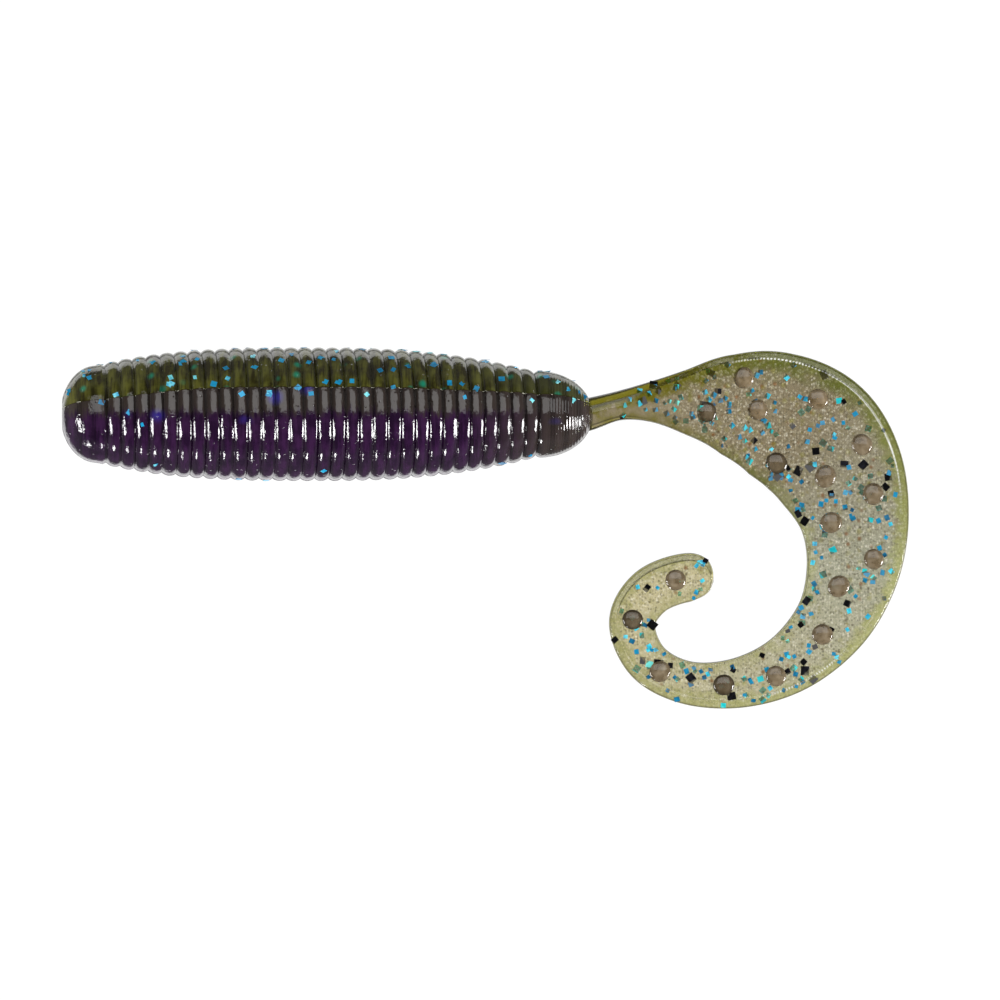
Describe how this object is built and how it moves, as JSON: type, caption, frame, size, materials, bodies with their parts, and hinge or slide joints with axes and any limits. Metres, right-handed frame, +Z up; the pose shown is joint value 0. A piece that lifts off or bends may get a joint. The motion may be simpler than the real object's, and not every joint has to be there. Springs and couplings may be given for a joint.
{
  "type": "soft plastic worm",
  "caption": "Soft plastic curly-tail grub: ribbed two-tone body, olive back over purple belly, thin neck and a flat, clear, curled ribbon tail with glitter flakes.",
  "frame": {"origin": "centre of the part's box, on the surface that it lies on", "axes": "+X from the nose to the tail, +Y towards the fish's back, +Z up off the surface, out of the lure's side"},
  "size_m": [0.089, 0.038, 0.014],
  "materials": {
    "olive_back": "gloss",
    "purple_belly": "gloss",
    "clear_tail": "gloss"
  },
  "bodies": {
    "middle": {"middle_back": "olive_back", "middle_belly": "purple_belly"},
    "fore": {"fore_back": "olive_back", "fore_belly": "purple_belly"},
    "nose": {"nose_back": "olive_back", "nose_belly": "purple_belly"},
    "aft": {"aft_back": "olive_back", "aft_belly": "purple_belly"},
    "rump": {"rump_back": "olive_back", "rump_belly": "purple_belly"},
    "neck": {"tail_neck": "clear_tail"},
    "ribbon_01": {"tail_ribbon_01": "clear_tail"},
    "ribbon_02": {"tail_ribbon_02": "clear_tail"},
    "ribbon_03": {"tail_ribbon_03": "clear_tail"},
    "ribbon_04": {"tail_ribbon_04": "clear_tail"},
    "ribbon_05": {"tail_ribbon_05": "clear_tail"},
    "ribbon_06": {"tail_ribbon_06": "clear_tail"},
    "ribbon_07": {"tail_ribbon_07": "clear_tail"},
    "ribbon_08": {"tail_ribbon_08": "clear_tail"},
    "ribbon_09": {"tail_ribbon_09": "clear_tail"},
    "ribbon_10": {"tail_ribbon_10": "clear_tail"},
    "ribbon_11": {"tail_ribbon_11": "clear_tail"},
    "tip": {"tail_tip": "clear_tail"}
  },
  "joints": [
    {"name": "nose_bend", "type": "hinge", "parent": "fore", "child": "nose", "pos_m": [-0.03458, 0.012, 0.007], "axis": [0, 1, 0], "range_deg": [-12, 12], "stiffness_Nm_per_rad": 0.02},
    {"name": "front_bend", "type": "hinge", "parent": "middle", "child": "fore", "pos_m": [-0.02605, 0.012, 0.007], "axis": [0, 0, 1], "range_deg": [-18, 18], "stiffness_Nm_per_rad": 0.02},
    {"name": "rear_bend", "type": "hinge", "parent": "middle", "child": "aft", "pos_m": [-0.00781, 0.012, 0.007], "axis": [0, 0, 1], "range_deg": [-18, 18], "stiffness_Nm_per_rad": 0.02},
    {"name": "rump_bend", "type": "hinge", "parent": "aft", "child": "rump", "pos_m": [0.00048, 0.012, 0.007], "axis": [0, 0, 1], "range_deg": [-18, 18], "stiffness_Nm_per_rad": 0.02},
    {"name": "neck_sway", "type": "hinge", "parent": "rump", "child": "neck", "pos_m": [0.01156, 0.012, 0.007], "axis": [0, -1, 0], "range_deg": [0, 45], "stiffness_Nm_per_rad": 0.0005},
    {"name": "neck_flex", "type": "hinge", "parent": "neck", "child": "ribbon_01", "pos_m": [0.01695, 0.01328, 0.00592], "axis": [0.0635, -0.998, 0], "range_deg": [-18, 0], "stiffness_Nm_per_rad": 0.0001},
    {"name": "curl_root", "type": "hinge", "parent": "ribbon_01", "child": "ribbon_02", "pos_m": [0.02517, 0.0183, 0.00293], "axis": [0.02, 0.01, 0.9997], "range_deg": [0, 12], "stiffness_Nm_per_rad": 0.0005},
    {"name": "ripple_top", "type": "hinge", "parent": "ribbon_02", "child": "ribbon_03", "pos_m": [0.03047, 0.01184, 0.00103], "axis": [-0.3692, -0.9294, 0], "range_deg": [0, 20], "stiffness_Nm_per_rad": 0.0001},
    {"name": "curl_top", "type": "hinge", "parent": "ribbon_03", "child": "ribbon_04", "pos_m": [0.04013, 0.01436, 0.0006], "axis": [0.02, 0.01, 0.9997], "range_deg": [0, 12], "stiffness_Nm_per_rad": 0.001},
    {"name": "ripple_side", "type": "hinge", "parent": "ribbon_04", "child": "ribbon_05", "pos_m": [0.03773, 0.00437, 0.0006], "axis": [-0.9319, -0.3628, 0], "range_deg": [0, 20], "stiffness_Nm_per_rad": 0.0001},
    {"name": "curl_side", "type": "hinge", "parent": "ribbon_05", "child": "ribbon_06", "pos_m": [0.04437, -0.0008, 0.0006], "axis": [0.02, 0.01, 0.9997], "range_deg": [0, 12], "stiffness_Nm_per_rad": 0.0005},
    {"name": "ripple_low", "type": "hinge", "parent": "ribbon_06", "child": "ribbon_07", "pos_m": [0.03696, -0.0087, 0.0006], "axis": [-0.8839, 0.4677, 0], "range_deg": [0, 10], "stiffness_Nm_per_rad": 0.0001},
    {"name": "curl_low", "type": "hinge", "parent": "ribbon_07", "child": "ribbon_08", "pos_m": [0.03479, -0.0163, 0.0006], "axis": [0.02, 0.01, 0.9997], "range_deg": [0, 18], "stiffness_Nm_per_rad": 0.00012},
    {"name": "ripple_end", "type": "hinge", "parent": "ribbon_08", "child": "ribbon_09", "pos_m": [0.02732, -0.01608, 0.0006], "axis": [-0.24, 0.9708, 0], "range_deg": [0, 20], "stiffness_Nm_per_rad": 0.0001},
    {"name": "curl_end", "type": "hinge", "parent": "ribbon_09", "child": "ribbon_10", "pos_m": [0.02032, -0.01848, 0.0006], "axis": [0.02, 0.01, 0.9997], "range_deg": [0, 18], "stiffness_Nm_per_rad": 0.00005},
    {"name": "tip_flick", "type": "hinge", "parent": "ribbon_10", "child": "ribbon_11", "pos_m": [0.01583, -0.0125, 0.0006], "axis": [0.9026, 0.4304, 0], "range_deg": [0, 25], "stiffness_Nm_per_rad": 0.0001},
    {"name": "curl_tip", "type": "hinge", "parent": "ribbon_11", "child": "tip", "pos_m": [0.01538, -0.0047, 0.0006], "axis": [0.02, 0.01, 0.9997], "range_deg": [0, 18], "stiffness_Nm_per_rad": 0.00005}
  ],
  "couplings": [
    {"joint": "rump_bend", "follows": "rear_bend", "ratio": 1},
    {"joint": "neck_flex", "follows": "neck_sway", "ratio": -0.4},
    {"joint": "ripple_side", "follows": "ripple_top", "ratio": 1},
    {"joint": "ripple_low", "follows": "ripple_top", "ratio": 0.5},
    {"joint": "ripple_end", "follows": "ripple_top", "ratio": 1},
    {"joint": "curl_top", "follows": "curl_root", "ratio": 1},
    {"joint": "curl_side", "follows": "curl_root", "ratio": 1},
    {"joint": "curl_low", "follows": "curl_root", "ratio": 1.5},
    {"joint": "curl_end", "follows": "curl_root", "ratio": 1.5},
    {"joint": "curl_tip", "follows": "curl_root", "ratio": 1.5}
  ]
}
